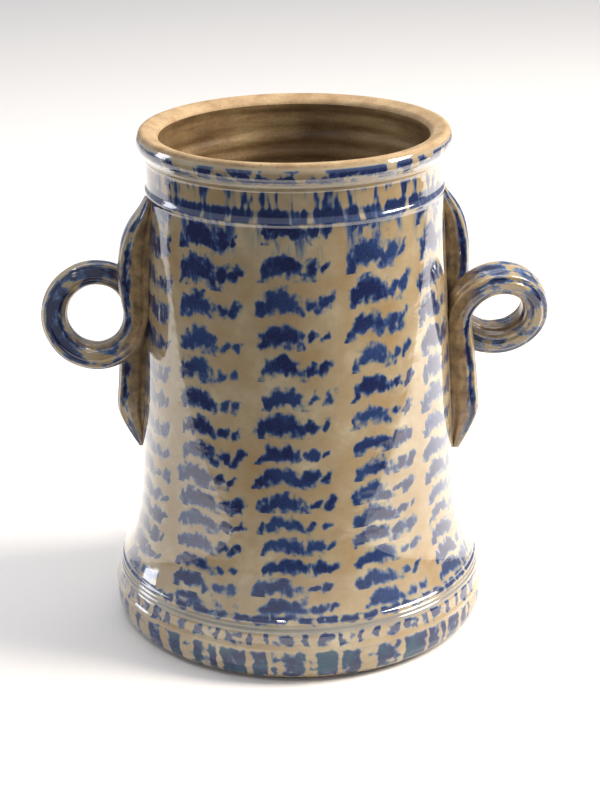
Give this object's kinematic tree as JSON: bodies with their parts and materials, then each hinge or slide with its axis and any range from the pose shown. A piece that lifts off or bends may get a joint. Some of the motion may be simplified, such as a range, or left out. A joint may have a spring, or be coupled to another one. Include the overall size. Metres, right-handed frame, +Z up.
{
  "type": "two-handled crock",
  "caption": "open-topped thrown stoneware crock with a flared foot, a collared mouth and a looped strap handle on each side",
  "frame": {"origin": "middle of the foot's resting plane", "axes": "+Z up out of the mouth, +X through the right handle, +Y away from the front"},
  "size_m": [0.2531, 0.1912, 0.253],
  "materials": {
    "glazed_body": "clear glossy glaze over buff stoneware with sponged cobalt blue, rim top and foot left bare",
    "glazed_handle": "clear glossy glaze over buff stoneware, brushed and dabbed with cobalt blue"
  },
  "bodies": {
    "root": {"crock_body": "glazed_body", "right_handle": "glazed_handle", "left_handle": "glazed_handle"}
  },
  "joints": []
}
